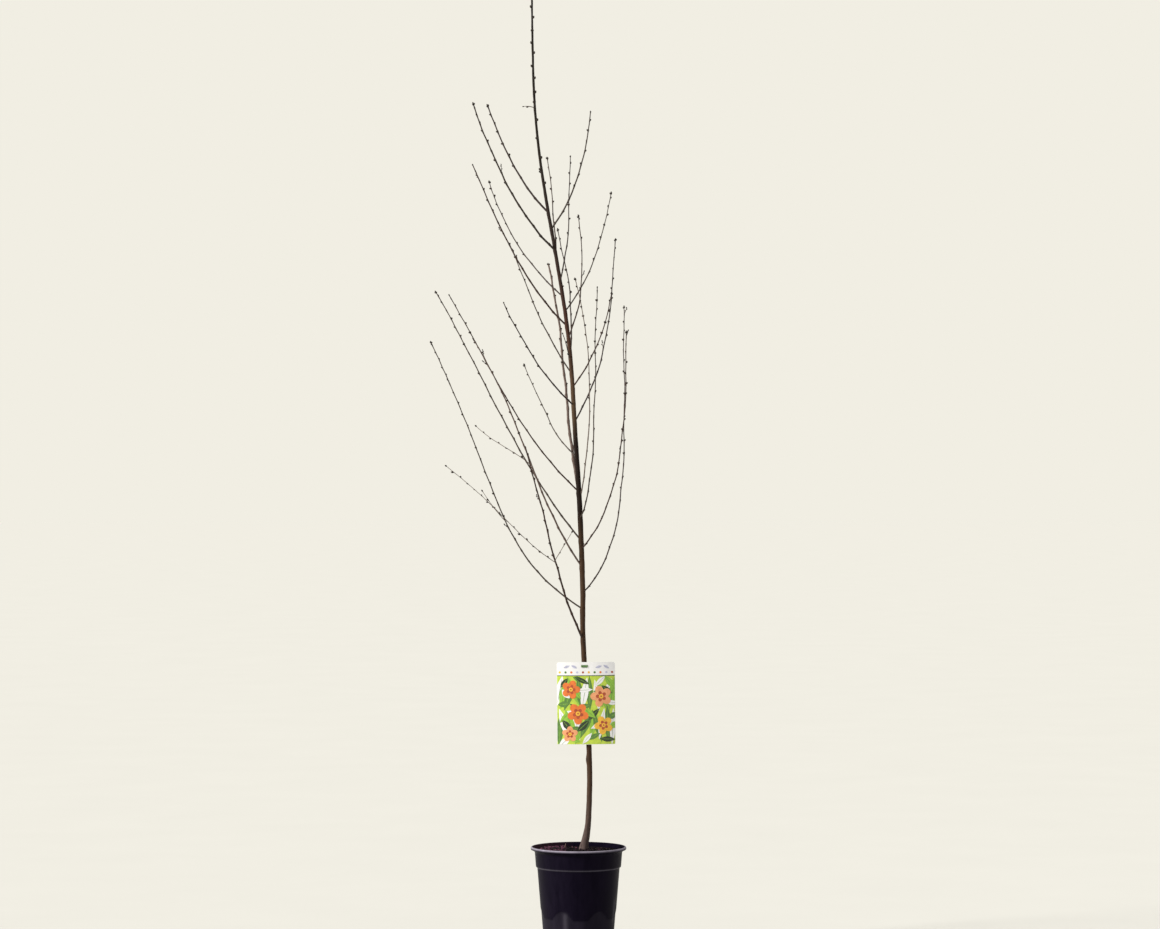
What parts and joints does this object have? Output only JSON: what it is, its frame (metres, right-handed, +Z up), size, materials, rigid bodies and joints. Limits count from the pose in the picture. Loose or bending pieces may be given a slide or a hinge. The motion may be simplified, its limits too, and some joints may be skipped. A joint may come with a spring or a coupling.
{
  "type": "potted peach tree",
  "caption": "Young flat-peach tree in winter, bare: a slender leader with upswept feathered shoots, in a round black nursery pot with a picture label tied to its trunk.",
  "frame": {"origin": "centre of the pot's flat underside, where it stands on the ground", "axes": "+Z up along the tree, +X to the right and -Y towards the viewer in the picture"},
  "size_m": [0.4339, 0.3899, 2.1803],
  "materials": {
    "trunk_bark": "fine rough bark, matt, near black above and grey-brown towards the foot",
    "shoot_bark": "smooth young bark with a slight sheen",
    "twigs": "smooth young bark and matt buds",
    "pot_plastic": "satin black moulded plastic",
    "potting_soil": "rough, crumbly and matt",
    "label_card": "printed card with a satin face",
    "tie_plastic": "satin green plastic band"
  },
  "bodies": {
    "root": {"bough_01": "shoot_bark", "bough_02": "shoot_bark", "bough_03": "shoot_bark", "bough_04": "shoot_bark", "bough_05": "shoot_bark", "bough_06": "shoot_bark", "bough_07": "shoot_bark", "bough_08": "shoot_bark", "bough_09": "shoot_bark", "bough_10": "shoot_bark", "bough_11": "shoot_bark", "bough_12": "shoot_bark", "bough_13": "shoot_bark", "bough_14": "shoot_bark", "bough_15": "shoot_bark", "bough_17": "shoot_bark", "bough_18": "shoot_bark", "bough_19": "shoot_bark", "bough_20": "shoot_bark", "bough_21": "shoot_bark", "bough_22": "shoot_bark", "bough_24": "shoot_bark", "bough_26": "shoot_bark", "label": "label_card", "label_tie": "tie_plastic", "pot": "pot_plastic", "soil": "potting_soil", "trunk": "trunk_bark", "twigs_01": "twigs", "twigs_02": "twigs", "twigs_03": "twigs", "twigs_04": "twigs", "twigs_05": "twigs", "twigs_06": "twigs", "twigs_07": "twigs", "twigs_08": "twigs", "twigs_09": "twigs", "twigs_10": "twigs", "twigs_11": "twigs", "twigs_12": "twigs", "twigs_13": "twigs", "twigs_14": "twigs", "twigs_15": "twigs", "twigs_16": "twigs", "twigs_17": "twigs", "twigs_18": "twigs", "twigs_19": "twigs", "twigs_20": "twigs", "twigs_21": "twigs", "twigs_22": "twigs", "twigs_23": "twigs", "twigs_24": "twigs", "twigs_25": "twigs", "twigs_26": "twigs", "twigs_27": "twigs"}
  },
  "joints": []
}
